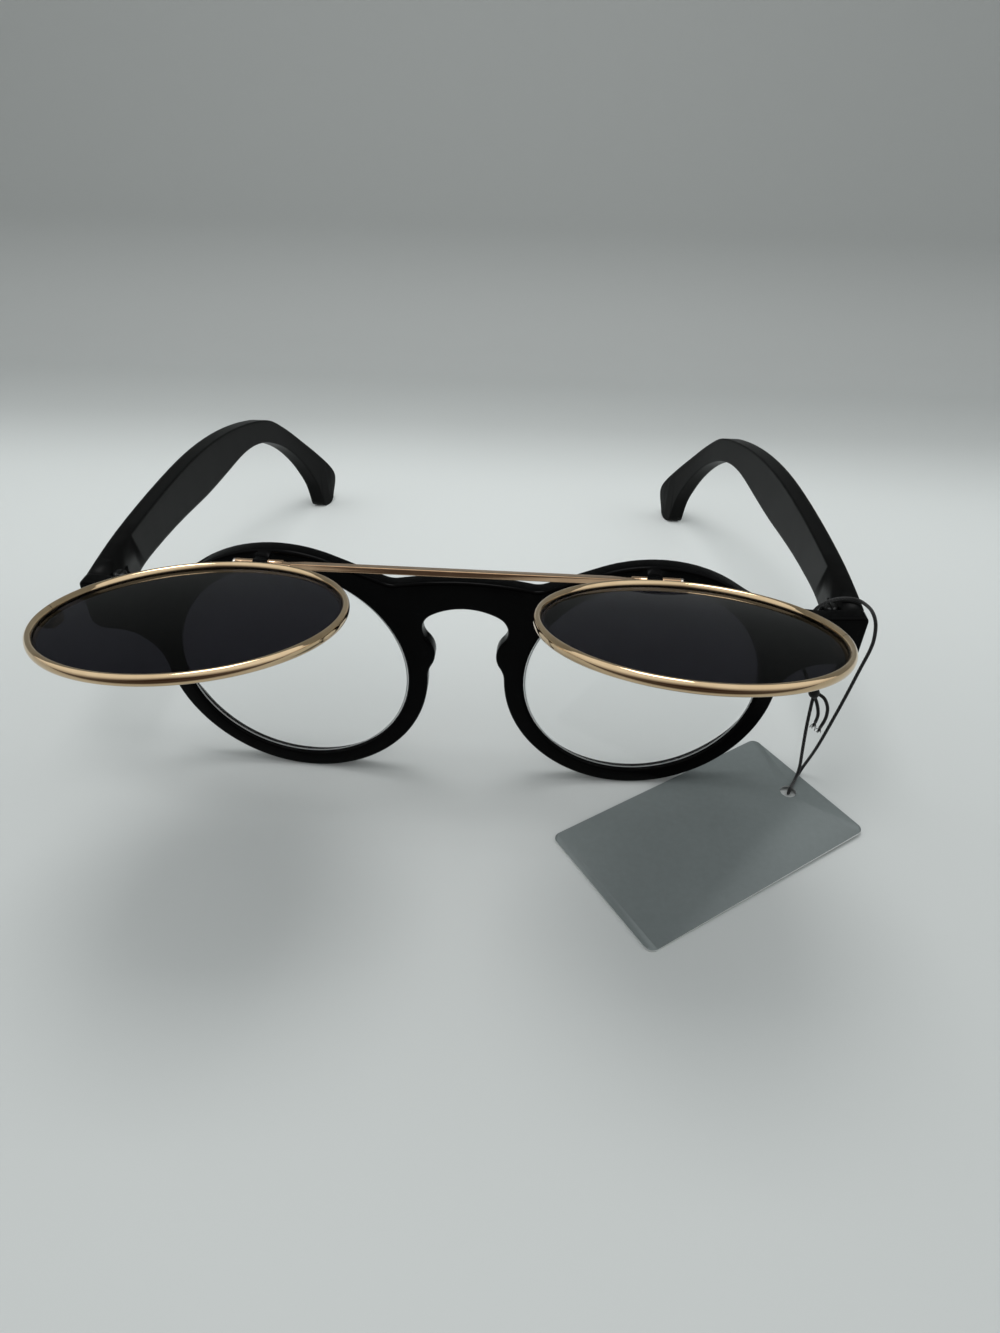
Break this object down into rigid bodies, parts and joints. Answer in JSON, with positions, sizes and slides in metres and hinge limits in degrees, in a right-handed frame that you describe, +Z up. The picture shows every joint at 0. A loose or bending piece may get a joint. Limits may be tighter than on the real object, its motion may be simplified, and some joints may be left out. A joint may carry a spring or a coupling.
{
  "type": "flip up sunglasses",
  "caption": "Round black flip up sunglasses: a clear-lensed keyhole-bridge frame with folding temples, tinted gold wire rims raised on a top hinge bar, and a blank swing tag on a string.",
  "frame": {"origin": "on the table under the middle of the glasses' box, without the tag and its string", "axes": "+X to the right as the camera sees it, -Y the way the glasses look, +Y back along the temples, +Z up"},
  "size_m": [0.1505, 0.1676, 0.064],
  "materials": {
    "front_acetate": "polished black",
    "temple_acetate": "satin black",
    "clear_lens": "clear",
    "tinted_lens": "dark grey tint",
    "gold_wire": "light gold, polished",
    "gold_bar": "light gold, polished",
    "screw_steel": "bright steel",
    "tag_card": "satin silver-grey card",
    "tag_cord": "matte black cord"
  },
  "bodies": {
    "frame": {"front_frame": "front_acetate", "clear_lens_left": "clear_lens", "clear_lens_right": "clear_lens", "temple_screw_left": "screw_steel", "temple_screw_right": "screw_steel", "swing_tag": "tag_card", "tag_string": "tag_cord", "string_knot": "tag_cord"},
    "flip_unit": {"flip_rim_left": "gold_wire", "flip_rim_right": "gold_wire", "tinted_lens_left": "tinted_lens", "tinted_lens_right": "tinted_lens", "rim_lock_left": "gold_wire", "rim_lock_right": "gold_wire", "rim_screw_left": "screw_steel", "rim_screw_right": "screw_steel", "top_bar": "gold_bar", "rim_knuckle_left": "gold_bar", "rim_knuckle_right": "gold_bar", "flip_screw_left": "screw_steel", "flip_screw_right": "screw_steel"},
    "left_temple": {"temple_left": "temple_acetate"},
    "right_temple": {"temple_right": "temple_acetate"}
  },
  "joints": [
    {"name": "flip_hinge", "type": "hinge", "parent": "frame", "child": "flip_unit", "pos_m": [-0.0012, -0.03862, 0.0504], "axis": [-1, 0, 0], "range_deg": [-102.6, 15]},
    {"name": "temple_right_fold", "type": "hinge", "parent": "frame", "child": "right_temple", "pos_m": [0.0668, -0.02799, 0.0364], "axis": [0, 0, 1], "range_deg": [-1.2, 80.8]},
    {"name": "temple_left_fold", "type": "hinge", "parent": "frame", "child": "left_temple", "pos_m": [-0.0668, -0.02799, 0.0364], "axis": [0, 0, -1], "range_deg": [0, 76.8]}
  ]
}
